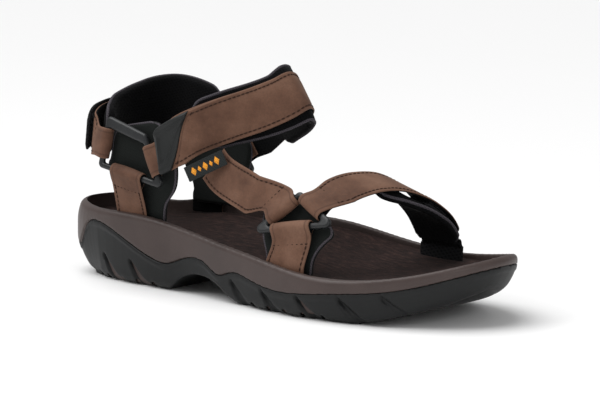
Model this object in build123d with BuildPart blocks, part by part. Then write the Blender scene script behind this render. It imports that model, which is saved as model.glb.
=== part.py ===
"""Strappy sport sandal for the right foot, in millimetres.

The toe points along +X, the lateral (outer) side is -Y and +Z is up. The origin is on the ground,
under the middle of the sole's bounding box. Shapes along the foot are set out on a nominal last,
300 long and 110 wide, whose heel is at x 0, and last() scales them to the sole asked for.
"""

import os
from math import cos, radians, sin
from typing import NamedTuple

from build123d import *

# ---- driving dimensions: sole ----
sole_length = 300.0
sole_width = 110.0
rim_wall = 4.0  # midsole wall round the footbed
rim_lip = 2.2  # how far the midsole rim stands above the footbed's edge
footbed_thickness = 4.0
heel_dish = 9.0
forefoot_dish = 3.0
outsole_wall = 3.2
tread_depth = 3.5
tread_groove = 3.2
tread_pitch = 13.0
side_groove_width = 2.6
side_groove_depth = 2.2
shank_length, shank_width, shank_thickness = 80.0, 24.0, 1.6
shank_height = 20.5
shock_pad_diameter, shock_pad_thickness = 42.0, 5.0

# ---- driving dimensions: straps ----
leather_thickness = 1.5
patch_thickness = 0.8
pad_thickness = 4.0
collar_thickness = 5.0
label_thickness = 0.7
tab_thickness = 2.4
instep_width = 26.0
toe_width = 24.0
connector_width = 23.0
heel_width = 26.0
front_anchor_width = 28.0
rear_anchor_width = 24.0
toe_anchor_width = 29.0
patch_margin = 2.5  # strap left showing each side of a hook or loop patch
seam_gap = 0.12  # between layers sewn or pressed together
peel_gap = 0.35  # between the two halves of a hook-and-loop closure
hinge_gap = 0.3  # between a strap and the flap that peels off it
slot_depth = 10.0  # how deep an anchor goes into its slot beside the footbed
tail_length = 4.0  # strap folded back behind a ring bar
roll_length = 7.0  # strap that rolls round the bar before its layers meet
tail_clearance = 1.5  # a strap's straight run past the end of its tail

# ---- driving dimensions: rings ----
bar_width = 3.6
bar_thickness = 3.4
bar_rounding = 1.4
ring_corner_radius = 3.0
hole_corner_radius = 1.2
ring_plate_extra = 3.0  # how much wider the rear rings' top bar is
loop_clearance = 0.3

NOMINAL_LENGTH, NOMINAL_WIDTH = 300.0, 110.0
X, Y, Z = Vector(1, 0, 0), Vector(0, 1, 0), Vector(0, 0, 1)

# Half outlines of the sole on the nominal last, heel to toe.
lateral_outline = [
    (4, -13), (14, -24.8), (32, -33.8), (60, -38.5), (100, -39), (140, -44.2), (178, -51),
    (210, -53.8), (240, -49), (268, -38), (288, -22.5), (298, -5),
]
medial_outline = [
    (4, 13.5), (14, 26), (32, 35), (60, 38.5), (100, 36), (140, 37), (175, 46), (205, 53.6),
    (232, 56.2), (258, 53), (280, 43), (295, 27),
]
heel_end, toe_end = (0.3, 0), (299.8, 11)

# Side profiles of the sole: (x, z) on the nominal last.
lateral_rim = [
    (-10, 43), (20, 43.5), (53, 43), (84, 40), (113, 34.5), (140, 30.4), (181, 26.6), (210, 23.8),
    (240, 24.2), (270, 29), (300, 38), (315, 43),
]
medial_rim = [
    (-10, 43), (18, 43.5), (41, 39.5), (66, 45), (100, 47), (140, 46), (165, 43), (190, 36),
    (214, 30.5), (241, 28.2), (270, 31.5), (300, 38), (315, 43),
]
interface = [
    (-10, 22), (8, 21), (17, 18), (25, 28), (34, 35), (43, 34.5), (67, 25.1), (82, 18.8),
    (96, 16.3), (107, 19.8), (117, 22.4), (127, 21), (139, 15.4), (152, 18.6), (164, 17),
    (181, 13.8), (197, 13.4), (225, 16), (250, 18.6), (273, 23.5), (292, 30), (315, 38),
]
tray_floor = [
    (-10, 22), (0, 16.5), (8, 10.5), (20, 6.5), (94, 6.5), (102, 12.5), (113, 18), (125, 19),
    (136, 16.5), (145, 11.5), (153, 6.5), (232, 6.5), (250, 9.5), (270, 14.5), (289, 20.5),
    (300, 26), (315, 33.5),
]
heel_bevel = [(-10, 16), (0, 10), (8, 4), (18, 0), (22, -1.5)]
arch_recess = [
    (91, -2), (94, 0), (102, 6), (113, 11.5), (125, 12.5), (136, 10), (145, 5), (153, 0), (156, -2),
]
toe_spring = [(222, -1.2), (234, 0), (250, 3), (270, 8), (289, 14), (300, 19.5), (315, 27)]
heel_contact, forefoot_contact = (20, 94), (153, 232)
sole_top = max(z for _, z in medial_rim) + 5
under_floor = -20.0

# Slanted grooves in the outsole's side: (x, z) at the closed end, then at the ground.
side_grooves = [
    ((43, 14), (58, -2)), ((66, 13.5), (81, -2)), ((150, 13), (166, -2)), ((176, 11), (192, -2)),
    ((203, 11), (220, -2)), ((230, 13), (247, -1)), ((254, 16), (271, 3)),
]


# ---- the last ----
def outline_points(inset):
    """Points of the sole's outline in the row frame, moved inwards by inset."""
    loop = [heel_end, *medial_outline, toe_end, *reversed(lateral_outline)]
    scale_x, scale_y = sole_length / NOMINAL_LENGTH, sole_width / NOMINAL_WIDTH
    scaled = [Vector(x * scale_x, y * scale_y) - row_origin for x, y in loop]
    moved = []
    for index, point in enumerate(scaled):
        along = scaled[(index + 1) % len(scaled)] - scaled[index - 1]
        inwards = Vector(along.Y, -along.X).normalized()
        moved.append(point + inwards * inset)
    return moved


row_origin = Vector(0, 0, 0)
with BuildLine() as full_outline:
    Spline(*outline_points(0), periodic=True)
outline_middle = full_outline.line.bounding_box().center()
row_origin = Vector(outline_middle.X, outline_middle.Y, 0)


def last(x, y, z):
    """A point of the nominal last, in the row frame."""
    return Vector(x * sole_length / NOMINAL_LENGTH, y * sole_width / NOMINAL_WIDTH, z) - row_origin


def height_at(profile, x):
    """A side profile's height at a nominal x."""
    after = next(index for index, point in enumerate(profile) if point[0] >= x)
    (x0, z0), (x1, z1) = profile[after - 1], profile[after]
    return z0 + (z1 - z0) * (x - x0) / (x1 - x0)


# ---- sole solids ----
def prism(inset):
    """The sole's outline, moved inwards by inset, as a tall block."""
    with BuildPart() as block:
        with BuildSketch():
            with BuildLine():
                Spline(*outline_points(inset), periodic=True)
            make_face()
        extrude(amount=sole_top)
    return block.part


def below(profile, medial_profile=None):
    """Everything under a side profile, or under a surface from it to the medial profile."""
    reach = sole_width * 0.6
    sides = [(-reach, profile), (reach, medial_profile)] if medial_profile else [(-reach, profile)]
    with BuildPart() as block:
        for y, line in sides:
            points = [(last(x, 0, 0).X, z) for x, z in line]
            first, final = points[0], points[-1]
            with BuildSketch(Plane(origin=(0, y, 0), x_dir=X, z_dir=-Y)):
                with BuildLine():
                    Spline(*points)
                    Polyline(final, (final[0], under_floor), (first[0], under_floor), first)
                make_face()
        if medial_profile:
            loft()
        else:
            extrude(amount=-2 * reach)
    return block.part


def dish_at(x):
    """Depth of the footbed's hollow, deep at the heel and shallow from the ball on."""
    share = min(max((x - 60) / 110, 0), 1)
    return heel_dish + (forefoot_dish - heel_dish) * share


def foot_space(drop):
    """The room above the footbed, with its floor moved down by drop."""
    reach = NOMINAL_WIDTH * 0.55
    ceiling = 3 * sole_top
    with BuildPart() as space:
        for x in (-8, 20, 45, 75, 105, 135, 165, 190, 215, 245, 275, 308):
            left = last(x, -reach, height_at(lateral_rim, x) - rim_lip - drop)
            right = last(x, reach, height_at(medial_rim, x) - rim_lip - drop)
            middle = (left + right) * 0.5 - Z * dish_at(x)
            plane = Plane(origin=(left.X, 0, 0), x_dir=(0, 1, 0), z_dir=(1, 0, 0))
            with BuildSketch(plane):
                with BuildLine():
                    ThreePointArc((left.Y, left.Z), (middle.Y, middle.Z), (right.Y, right.Z))
                    Polyline(
                        (right.Y, right.Z), (right.Y, ceiling), (left.Y, ceiling), (left.Y, left.Z)
                    )
                make_face()
        loft()
    return space.part


whole_block = prism(0)
tray_block = prism(outsole_wall)
cup_block = prism(rim_wall)
under_rim = below(lateral_rim, medial_profile=medial_rim)
under_interface = below(interface)
under_tray_floor = below(tray_floor)
foot_room = foot_space(0)
cup_room = foot_space(footbed_thickness)


# ---- straps ----
class Station(NamedTuple):
    """A cross-section of a strap: its middle, the way it runs across and along, and its width."""

    centre: Vector
    across: Vector
    along: Vector
    width: float

    @property
    def outward(self):
        return self.along.cross(self.across)

    def lifted(self, lift, width=None):
        return self._replace(centre=self.centre + self.outward * lift, width=width or self.width)


def station(centre, across, along, width):
    """A station whose outward side faces away from the foot."""
    along = along.normalized()
    across = (across - along * across.dot(along)).normalized()
    foot = Vector(max(centre.X, last(50, 0, 0).X), 0, centre.Z - 30)
    if along.cross(across).dot(centre - foot) < 0:
        across = across * -1
    return Station(centre, across, along, width)


def blend(values, t):
    """Catmull-Rom blend of a list of vectors or numbers, and its rate of change, at t."""
    index = min(max(int(t), 0), len(values) - 2)
    u = t - index
    b, c = values[index], values[index + 1]
    a = values[index - 1] if index > 0 else b * 2 - c
    d = values[index + 2] if index + 2 < len(values) else c * 2 - b
    value = (b * 2 + (c - a) * u + (a * 2 - b * 5 + c * 4 - d) * u**2 + (b * 3 - a - c * 3 + d) * u**3)
    rate = (c - a) + (a * 2 - b * 5 + c * 4 - d) * (2 * u) + (b * 3 - a - c * 3 + d) * (3 * u**2)
    return value * 0.5, rate * 0.5


def follow(route, start, end, width, lift=0.0, steps=3):
    """Stations along a route of (point, across) controls, from control start to control end.

    Width and lift are numbers, or lists of numbers shared out evenly over the stretch.
    """
    count = max(2, round(abs(end - start) * steps) + 1)
    stations = []
    for index in range(count):
        share = index / (count - 1)
        t = start + (end - start) * share
        centre, rate = blend([point for point, _ in route], t)
        across, _ = blend([side for _, side in route], t)
        along = rate if end > start else rate * -1
        here = station(centre, across, along, spread(width, share))
        stations.append(here.lifted(spread(lift, share)))
    return stations


def spread(value, share):
    """A number, or the value at a share of the way along a list of numbers."""
    if not isinstance(value, (list, tuple)):
        return value
    return blend(list(value), share * (len(value) - 1))[0]


def loop_round(bar, across, away, width, thickness=leather_thickness):
    """Stations of a strap's end that doubles back round a ring bar, tail first."""
    first = station(bar, across, away, width)
    seam = (thickness + seam_gap) / 2
    radius = bar_width / 2 + loop_clearance + thickness / 2
    back = Station(bar, first.across, first.along * -1, width)
    tail = [
        back._replace(centre=bar + first.along * reach - first.outward * seam)
        for reach in (roll_length + tail_length, roll_length)
    ]
    turn = []
    for angle in range(-90, 91, 30):
        spoke = first.outward * sin(radians(angle)) - first.along * cos(radians(angle))
        heading = first.outward * cos(radians(angle)) + first.along * sin(radians(angle))
        turn.append(Station(bar + spoke * radius, first.across, heading, width))
    legs = [
        first._replace(centre=bar + first.along * reach + first.outward * seam)
        for reach in (roll_length, roll_length + tail_length + tail_clearance)
    ]
    return [*tail, *turn, *legs]


def strap(stations, thickness=leather_thickness):
    """A flat strap through its stations."""
    with BuildPart() as piece:
        for here in stations:
            plane = Plane(origin=here.centre, x_dir=here.across, z_dir=here.along)
            with BuildSketch(plane):
                Rectangle(here.width, thickness)
        loft(ruled=True)
    return piece.part


def on_plane(plane, x, y):
    return plane.from_local_coords(Vector(x, y, 0))


def ring(plane, corners, hole_corners):
    """A moulded ring: a rounded plate through the corners of its bars' middles, with a hole."""
    with BuildPart() as frame:
        with BuildSketch(plane.offset(-bar_thickness / 2)) as outer:
            Polygon(*corners, align=None)
            offset(amount=bar_width / 2, kind=Kind.INTERSECTION)
            fillet(outer.vertices(), ring_corner_radius)
        extrude(amount=bar_thickness)
        with BuildSketch(plane.offset(-bar_thickness / 2)) as hole:
            Polygon(*hole_corners, align=None)
            offset(amount=-bar_width / 2, kind=Kind.INTERSECTION)
            fillet(hole.vertices(), hole_corner_radius)
        extrude(amount=bar_thickness, mode=Mode.SUBTRACT)
        faces = frame.faces().sort_by(Axis(plane.origin, plane.z_dir))
        fillet(faces[0].edges() + faces[-1].edges(), bar_rounding)
    return frame.part


seam_lift = (leather_thickness + seam_gap) / 2  # a loop's middle to the middle of its outer leg
closure = leather_thickness + 2 * patch_thickness + peel_gap + 2 * seam_gap  # base strap to flap
pad_clear = bar_width / 2 + loop_clearance + leather_thickness + seam_gap  # loop's middle to a pad

pieces = {}


def keep(name, part):
    part.label = name
    pieces[name] = part
    return part


class Bars:
    """The bars of a ring on a plane, by the numbers of their corners."""

    def __init__(self, plane, corners):
        self.spots = [on_plane(plane, x, y) for x, y in corners]

    def point(self, first, second, share):
        return self.spots[first] + (self.spots[second] - self.spots[first]) * share

    def side(self, first, second):
        return (self.spots[second] - self.spots[first]).normalized()


def square_to(direction, side):
    """The direction made square to side."""
    return (direction - side * direction.dot(side)).normalized()


def loop_on(bars, corners, share, direction, width):
    """The looped end of a strap on a bar, heading off as near to direction as the bar allows."""
    side = bars.side(*corners)
    return loop_round(bars.point(*corners, share), side, square_to(direction, side), width)


# ---- front lateral ring, where the anchor, the connector and the toe strap meet ----
front_plane = Plane(
    origin=last(193, -39.5, 56), x_dir=Vector(0.986, 0.077, 0.165), z_dir=Vector(0, -0.906, 0.423)
)
front_corners = [(-26.4, -8.5), (23.6, -8.5), (0.4, 10.6)]
front_bars = Bars(front_plane, front_corners)
keep("front_ring", ring(front_plane, front_corners, front_corners))

rim_at_anchor = height_at(lateral_rim, 187)
front_anchor_route = [
    (last(188, -46.5, rim_at_anchor + 7), X),
    (last(187, -46.5, rim_at_anchor), X),
    (last(187, -46.5, rim_at_anchor - slot_depth), X),
]
keep("front_lateral_anchor", strap([
    *loop_on(front_bars, (0, 1), 0.48, Vector(-0.1, -0.15, -1), 26),
    *follow(front_anchor_route, 0, 2, front_anchor_width, steps=1),
]))
front_backer_route = [
    (last(190, -41.8, rim_at_anchor - 4), X),
    (last(190, -40.8, 32), X),
    (last(190, -37.6, 42), X),
    (last(191, -34.4, 50), X),
    (last(193, -30.5, 59), X),
]
keep("front_lateral_backer", strap(
    follow(front_backer_route, 0, 4, [31, 33, 44, 50, 32], steps=2), pad_thickness
))

connector_route = [
    (last(172, -38.8, 59), Vector(0.6, 0.2, 0.78)),
    (last(154.5, -37.3, 64.5), Vector(0.34, 0.2, 0.92)),
    (last(134, -33.4, 71), Vector(0.2, 0.2, 0.96)),
    (last(121, -29, 79), Vector(0.3, 0.2, 0.93)),
]
keep("connector_strap", strap([
    *loop_on(front_bars, (2, 0), 0.38, Vector(-1, 0.1, 0.3), 18.5),
    *follow(connector_route, 0.35, 2.7, connector_width),
]))
label_route = [
    (last(137, -34.6, 82), Vector(-0.35, -0.1, 0.93)),
    (last(113.5, -40, 70), Vector(-0.35, -0.1, 0.93)),
]
keep("side_label", strap(
    follow(label_route, 0, 1, 9, lift=leather_thickness / 2 + seam_gap + label_thickness / 2),
    label_thickness,
))

# ---- toe strap, closed over the medial toe anchor ----
toe_route = [
    (last(208.7, -33, 63.5), Vector(-0.86, 0.2, 0.44)),
    (last(211, -22, 69), Vector(-0.9, 0.15, 0.4)),
    (last(216, -7, 72), Vector(-0.94, 0, 0.33)),
    (last(221, 8, 71), Vector(-0.94, 0, 0.33)),
    (last(226, 23, 65), Vector(-0.94, 0, 0.3)),
    (last(230, 36, 55), Vector(-0.96, 0, 0.2)),
    (last(232, 44.5, 44), Vector(-1, 0, 0.1)),
    (last(232, 48.5, 34), X),
    (last(232, 48.5, 30), X),
    (last(232, 48.5, height_at(medial_rim, 232) - rim_lip - slot_depth), X),
]
toe_split = 3.6
toe_flap_end = 6.3
keep("toe_strap", strap([
    *loop_on(front_bars, (1, 2), 0.62, Vector(0.15, 0.8, 0.6), 17),
    *follow(toe_route, 0.5, toe_split, toe_width),
]))


def split_start(route, split, end):
    """Where a flap starts, hinge_gap past the strap it peels off."""
    _, rate = blend([point for point, _ in route], split)
    return split + hinge_gap / rate.length * (1 if end > split else -1)


keep("toe_strap_flap", strap(
    follow(toe_route, split_start(toe_route, toe_split, 9), toe_flap_end, toe_width)
))
toe_patch_width = toe_width - 2 * patch_margin
flap_to_patch = (leather_thickness + patch_thickness) / 2 + seam_gap
keep("toe_loop_patch", strap(
    follow(toe_route, 4.4, 6.2, toe_patch_width, lift=-flap_to_patch), patch_thickness
))
keep("toe_hook_patch", strap(
    follow(toe_route, 4.4, 6.0, toe_patch_width, lift=-closure + flap_to_patch), patch_thickness
))
keep("medial_toe_anchor", strap(
    follow(toe_route, 4.2, 9, [toe_width, toe_width, toe_anchor_width, toe_anchor_width], lift=-closure)
))
toe_pad_lift = -closure - leather_thickness / 2 - seam_gap - pad_thickness / 2
keep("toe_pad", strap(
    follow(toe_route, 2.4, 6.6, [22, 27, 29, 30, 30],
           lift=[-5.5, toe_pad_lift, toe_pad_lift, toe_pad_lift]),
    pad_thickness,
))

# ---- rear rings, one each side, where the heel strap, the anchor and the instep strap meet ----
rear_corners = [(-21, -10), (26, -18), (11, 9), (-17, 17)]


def slid(start, end, distance):
    """A point moved from start towards end by a distance."""
    start, end = Vector(*start), Vector(*end)
    moved = start + (end - start).normalized() * distance
    return moved.X, moved.Y


rear_hole = [
    *rear_corners[:2],
    slid(rear_corners[2], rear_corners[1], ring_plate_extra),
    slid(rear_corners[3], rear_corners[0], ring_plate_extra),
]


def rear_side(lateral):
    """The ring, anchor and backer of one side, and the ring's bars."""
    side = -1 if lateral else 1
    name = "lateral" if lateral else "medial"
    facing = Vector(0, side * 0.995, 0.1)
    plane = Plane(origin=last(69, side * 40, 80), x_dir=X, z_dir=facing)
    flip = 1 if lateral else -1
    corners = [(x * flip, y) for x, y in rear_corners]
    hole = [(x * flip, y) for x, y in rear_hole]
    if not lateral:
        plane = Plane(origin=last(69, side * 40, 80), x_dir=-X, z_dir=facing)
    bars = Bars(plane, corners)
    keep(f"rear_{name}_ring", ring(plane, corners, hole))
    rim = height_at(lateral_rim if lateral else medial_rim, 69)
    route = [
        (last(69, side * 35, rim + 5), X),
        (last(69, side * 34.2, rim), X),
        (last(69, side * 34.2, rim - slot_depth), X),
    ]
    keep(f"rear_{name}_anchor", strap([
        *loop_on(bars, (0, 1), 0.45, Vector(0, -0.15 * side, -1), rear_anchor_width),
        *follow(route, 0, 2, rear_anchor_width, steps=1),
    ]))
    backer = [
        (last(74, side * 29.6, rim - 3), X),
        (last(74, side * 30.4, rim + 8), X),
        (last(74, side * 32.4, rim + 18), X),
        (last(74, side * 33.4, rim + 30), X),
        (last(73, side * 33.4, rim + 38), X),
    ]
    widths = [28, 32, 48, 52, 46]
    if lateral:
        backer.append((last(70, side * 32.6, rim + 54), X))
        widths.append(36)
    keep(f"rear_{name}_backer", strap(
        follow(backer, 0, len(backer) - 1, widths, steps=2), pad_thickness
    ))
    return bars


lateral_bars = rear_side(True)
medial_bars = rear_side(False)

# ---- instep strap: fixed to the medial ring, its flap closes on a base strap at the lateral ring ----
instep_route = [
    (last(88, -45.6, 78), Vector(-0.49, 0, 0.87)),
    (last(102, -43, 85.5), Vector(-0.42, -0.1, 0.9)),
    (last(115, -39, 93.5), Vector(-0.24, -0.32, 0.92)),
    (last(131, -29, 101.5), Vector(-0.32, -0.23, 0.92)),
    (last(146, -18, 108.2), Vector(-0.38, -0.07, 0.92)),
    (last(156, -8.5, 114), Vector(-0.52, 0, 0.85)),
    (last(160, 1, 118.5), Vector(-0.64, 0, 0.77)),
    (last(157, 11, 117), Vector(-0.58, 0, 0.81)),
    (last(150, 20, 112.5), Vector(-0.45, 0.07, 0.88)),
    (last(136, 30.5, 105), Vector(-0.35, 0.2, 0.9)),
    (last(119, 38, 96), Vector(-0.38, 0.2, 0.9)),
    (last(103, 40.6, 86), Vector(-0.45, 0, 0.88)),
]
seam_at, crest = 1.5, 6.0
keep("instep_strap", strap([
    *loop_on(medial_bars, (1, 2), 0.5, Vector(0.87, 0, 0.5), 19),
    *reversed([here._replace(along=here.along * -1, across=here.across * -1)
               for here in follow(instep_route, crest, 11, instep_width)]),
]))
flap_start = split_start(instep_route, crest, 0)
keep("instep_strap_flap", strap(follow(instep_route, flap_start, seam_at, instep_width)))
tab_lift = (tab_thickness - leather_thickness) / 2 + peel_gap
keep("instep_pull_tab", strap(
    follow(instep_route, seam_at - 0.02, 0.3, [instep_width, 25, 20], lift=tab_lift), tab_thickness
))
keep("instep_base_strap", strap([
    *loop_on(lateral_bars, (1, 2), 0.5, Vector(0.87, 0.08, 0.5), 19),
    *follow(instep_route, 1.0, 3.6, instep_width,
            lift=[-closure - peel_gap, -closure, -closure, -closure, -closure, -closure]),
]))
instep_patch_width = instep_width - 2 * patch_margin
keep("instep_hook_patch", strap(
    follow(instep_route, 3.4, 1.7, instep_patch_width, lift=-flap_to_patch), patch_thickness
))
keep("instep_loop_patch", strap(
    follow(instep_route, 3.4, 1.2, instep_patch_width, lift=-closure + flap_to_patch), patch_thickness
))
under_connector = closure + 1.5 * leather_thickness + 2 * seam_gap + pad_thickness / 2
keep("instep_pad", strap(
    follow(instep_route, 2.2, 9.6, [30, 32, 34, 38, 40, 40],
           lift=[-under_connector - 0.6, -under_connector - 0.6, -under_connector + 2, -4, -3.6, -3.6]),
    pad_thickness,
))

# ---- heel strap: the medial half peels off the lateral half, outside a padded collar ----
heel_route = [
    (last(42, -38, 84), Vector(0.05, 0, 1)),
    (last(34, -31, 87), Vector(0.12, 0, 1)),
    (last(27.5, -18, 90), Vector(0.2, 0, 1)),
    (last(25, 0, 92), Vector(0.24, 0, 1)),
    (last(27.5, 18, 90), Vector(0.2, 0, 1)),
    (last(34, 31, 87), Vector(0.12, 0, 1)),
    (last(42, 38, 84), Vector(0.05, 0, 1)),
]
heel_split = 3.2
keep("heel_strap_lateral", strap([
    *loop_on(lateral_bars, (3, 0), 0.52, Vector(-1, 0.1, 0), 18),
    *follow(heel_route, 0.8, 2.7, heel_width, lift=seam_lift),
]))
keep("heel_hook_patch", strap(
    follow(heel_route, 2.6, 1.0, heel_width - 2 * patch_margin, lift=seam_lift + flap_to_patch),
    patch_thickness,
))
keep("heel_strap_medial", strap([
    *loop_on(medial_bars, (3, 0), 0.52, Vector(-1, -0.1, 0), 18),
    *follow(heel_route, 5.2, heel_split, heel_width,
            lift=[seam_lift, seam_lift, seam_lift + closure, seam_lift + closure]),
]))
heel_flap_start = split_start(heel_route, heel_split, 0)
keep("heel_strap_flap", strap(
    follow(heel_route, heel_flap_start, 0.8, [heel_width, heel_width, heel_width, 22],
           lift=seam_lift + closure)
))
keep("heel_loop_patch", strap(
    follow(heel_route, 2.9, 1.0, heel_width - 2 * patch_margin,
           lift=seam_lift + closure - flap_to_patch),
    patch_thickness,
))
collar_route = [
    (last(45, -31.3, 87), Vector(0.05, 0, 1)),
    (last(38.5, -24, 89.5), Vector(0.12, 0, 1)),
    (last(32.5, -13.5, 93), Vector(0.2, 0, 1)),
    (last(30, 1, 96), Vector(0.24, 0, 1)),
    (last(32.5, 14.5, 98.5), Vector(0.2, 0, 1)),
    (last(39, 24.5, 101), Vector(0.12, 0, 1)),
    (last(48, 30, 101.5), Vector(0.05, 0, 1)),
    (last(62, 31.3, 100), Vector(0.03, 0, 1)),
    (last(76, 31.8, 97), Vector(0.03, 0, 1)),
]
keep("heel_collar", strap(
    follow(collar_route, 0, 8, [27, 29, 31, 32, 33, 33, 33, 31, 27], steps=2), collar_thickness
))

# ---- outsole: a tray with a treaded floor ----
with BuildPart() as tray_room:
    add(tray_block)
    add(under_tray_floor, mode=Mode.SUBTRACT)

with BuildPart() as side_cuts:
    for top, foot in side_grooves:
        (x0, z0), (x1, z1) = top, foot
        start, end = Vector(last(x0, 0, 0).X, z0), Vector(last(x1, 0, 0).X, z1)
        half = Vector(end.Y - start.Y, start.X - end.X).normalized() * (side_groove_width / 2)
        with BuildSketch(Plane.XZ):
            Polygon(start + half, end + half, end - half, start - half, align=None)
        extrude(amount=sole_width, both=True)
    add(prism(side_groove_depth), mode=Mode.SUBTRACT)

with BuildPart() as tread_cuts:
    for begin, finish in (heel_contact, forefoot_contact):
        low, high = last(begin, 0, 0).X, last(finish, 0, 0).X
        count = int((high - low - tread_groove) / tread_pitch)
        for index in range(count):
            middle = (low + high) / 2 + (index - (count - 1) / 2) * tread_pitch
            with BuildSketch(Plane.XY.offset(-1)):
                with Locations((middle, 0)):
                    Rectangle(tread_groove, 2 * sole_width)
            extrude(amount=1 + tread_depth)

with BuildPart() as outsole:
    add(whole_block)
    add(under_interface, mode=Mode.INTERSECT)
    for profile in (heel_bevel, arch_recess, toe_spring):
        add(below(profile), mode=Mode.SUBTRACT)
    add(tray_room.part, mode=Mode.SUBTRACT)
    add(side_cuts.part, mode=Mode.SUBTRACT)
    add(tread_cuts.part, mode=Mode.SUBTRACT)
keep("outsole", outsole.part)

# ---- shank and heel shock pad, sealed between the outsole's floor and the midsole ----
floor_height = min(z for _, z in tray_floor)
with BuildPart() as shank:
    with BuildSketch(Plane.XY.offset(shank_height)):
        with Locations(last(123, 0, 0)):
            SlotOverall(shank_length, shank_width)
    extrude(amount=shank_thickness)
keep("shank", shank.part)

with BuildPart() as shock_pad:
    with BuildSketch(Plane.XY.offset(floor_height + 1)):
        with Locations(last(42, 0, 0)):
            Circle(shock_pad_diameter / 2)
    extrude(amount=shock_pad_thickness)
keep("heel_shock_pad", shock_pad.part)

# ---- midsole: fills the tray and rises to the rim round the footbed ----
slotted = [
    "front_lateral_anchor", "front_lateral_backer", "medial_toe_anchor", "rear_lateral_anchor",
    "rear_lateral_backer", "rear_medial_anchor", "rear_medial_backer",
]
with BuildPart() as cup:
    add(cup_block)
    add(cup_room, mode=Mode.INTERSECT)
with BuildPart() as skirt:
    add(under_interface)
    add(tray_block, mode=Mode.SUBTRACT)
with BuildPart() as midsole:
    add(whole_block)
    add(under_rim, mode=Mode.INTERSECT)
    add(under_tray_floor, mode=Mode.SUBTRACT)
    add(cup.part, mode=Mode.SUBTRACT)
    add(skirt.part, mode=Mode.SUBTRACT)
    for name in (*slotted, "shank", "heel_shock_pad"):
        add(pieces[name], mode=Mode.SUBTRACT)
keep("midsole", midsole.part)

with BuildPart() as footbed:
    add(cup.part)
    add(under_rim, mode=Mode.INTERSECT)
    add(foot_room, mode=Mode.SUBTRACT)
    for name in slotted:
        add(pieces[name], mode=Mode.SUBTRACT)
keep("footbed", footbed.part)

os.makedirs("parts", exist_ok=True)
for name, part in pieces.items():
    export_step(part, f"parts/{name}.step")
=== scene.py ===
"""Looks of the strappy sport sandal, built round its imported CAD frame. Lengths are in metres."""

import math
import random

import bmesh
import bpy
import numpy as np
from mathutils import Matrix, Vector


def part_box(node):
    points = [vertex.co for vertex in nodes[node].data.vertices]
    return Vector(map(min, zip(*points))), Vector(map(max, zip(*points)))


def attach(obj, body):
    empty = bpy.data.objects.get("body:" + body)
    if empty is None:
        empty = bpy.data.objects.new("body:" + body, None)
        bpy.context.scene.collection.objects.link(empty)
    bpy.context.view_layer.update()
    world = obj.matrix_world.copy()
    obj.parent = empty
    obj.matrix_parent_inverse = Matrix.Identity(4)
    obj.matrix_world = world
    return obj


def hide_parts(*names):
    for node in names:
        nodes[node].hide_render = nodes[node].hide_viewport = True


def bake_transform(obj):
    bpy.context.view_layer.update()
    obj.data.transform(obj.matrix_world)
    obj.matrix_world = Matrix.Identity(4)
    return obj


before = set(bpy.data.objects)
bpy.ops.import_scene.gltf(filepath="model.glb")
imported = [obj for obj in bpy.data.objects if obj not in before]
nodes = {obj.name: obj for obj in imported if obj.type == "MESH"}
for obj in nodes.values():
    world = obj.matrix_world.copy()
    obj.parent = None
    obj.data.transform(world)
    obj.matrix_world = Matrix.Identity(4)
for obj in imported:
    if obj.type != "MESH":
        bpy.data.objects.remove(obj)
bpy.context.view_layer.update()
bpy.context.scene.view_settings.view_transform = "Standard"
MM = 0.001
random.seed(7)

# Sizes of the straps and rings, in millimetres, as in the CAD.
LEATHER, PATCH, PAD, COLLAR, LABEL, TAB = 1.5, 0.8, 4.0, 5.0, 0.7, 2.4
SEAM_GAP, PEEL_GAP, BAR_WIDTH, LOOP_CLEARANCE = 0.12, 0.35, 3.6, 0.3
CLOSURE = LEATHER + 2 * PATCH + PEEL_GAP + 2 * SEAM_GAP
SEAM_LIFT = (LEATHER + SEAM_GAP) / 2
FLAP_TO_PATCH = (LEATHER + PATCH) / 2 + SEAM_GAP


# ---------------------------------------------------------------- materials
def new_material(name):
    material = bpy.data.materials.new(name)
    material.use_nodes = True
    tree = material.node_tree
    shader = tree.nodes["Principled BSDF"]
    return material, tree, shader


def add_node(tree, kind, values=None, **inputs):
    node = tree.nodes.new(kind)
    for key, value in (values or {}).items():
        setattr(node, key, value)
    for key, value in inputs.items():
        socket = node.inputs[int(key[1:])] if key[0] == "i" and key[1:].isdigit() else node.inputs[key]
        if isinstance(value, bpy.types.NodeSocket):
            tree.links.new(value, socket)
        else:
            socket.default_value = value
    return node


def place(tree):
    return add_node(tree, "ShaderNodeTexCoord").outputs["Object"]


def stretched(tree, vector, x, y, z):
    return add_node(tree, "ShaderNodeMapping", Vector=vector, Scale=(x, y, z)).outputs["Vector"]


def noise(tree, vector, scale, detail=3.0, roughness=0.55):
    made = add_node(
        tree, "ShaderNodeTexNoise", Vector=vector, Scale=scale, Detail=detail, Roughness=roughness
    )
    return made.outputs["Fac"]


def ramp(tree, factor, *stops):
    made = add_node(tree, "ShaderNodeValToRGB", Fac=factor)
    points = made.color_ramp.elements
    points[0].position, points[0].color = stops[0][0], (*stops[0][1], 1)
    points[1].position, points[1].color = stops[-1][0], (*stops[-1][1], 1)
    for position, colour in stops[1:-1]:
        points.new(position).color = (*colour, 1)
    return made.outputs["Color"]


def grey_ramp(tree, factor, *stops):
    return ramp(tree, factor, *((position, (grey, grey, grey)) for position, grey in stops))


def mix(tree, factor, first, second, blend="MIX"):
    made = tree.nodes.new("ShaderNodeMix")
    made.data_type = "RGBA"
    made.blend_type = blend
    for socket, value in zip((made.inputs[0], made.inputs[6], made.inputs[7]), (factor, first, second)):
        if isinstance(value, bpy.types.NodeSocket):
            tree.links.new(value, socket)
        else:
            socket.default_value = value if isinstance(value, float) else (*value, 1)
    return made.outputs[2]


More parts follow.
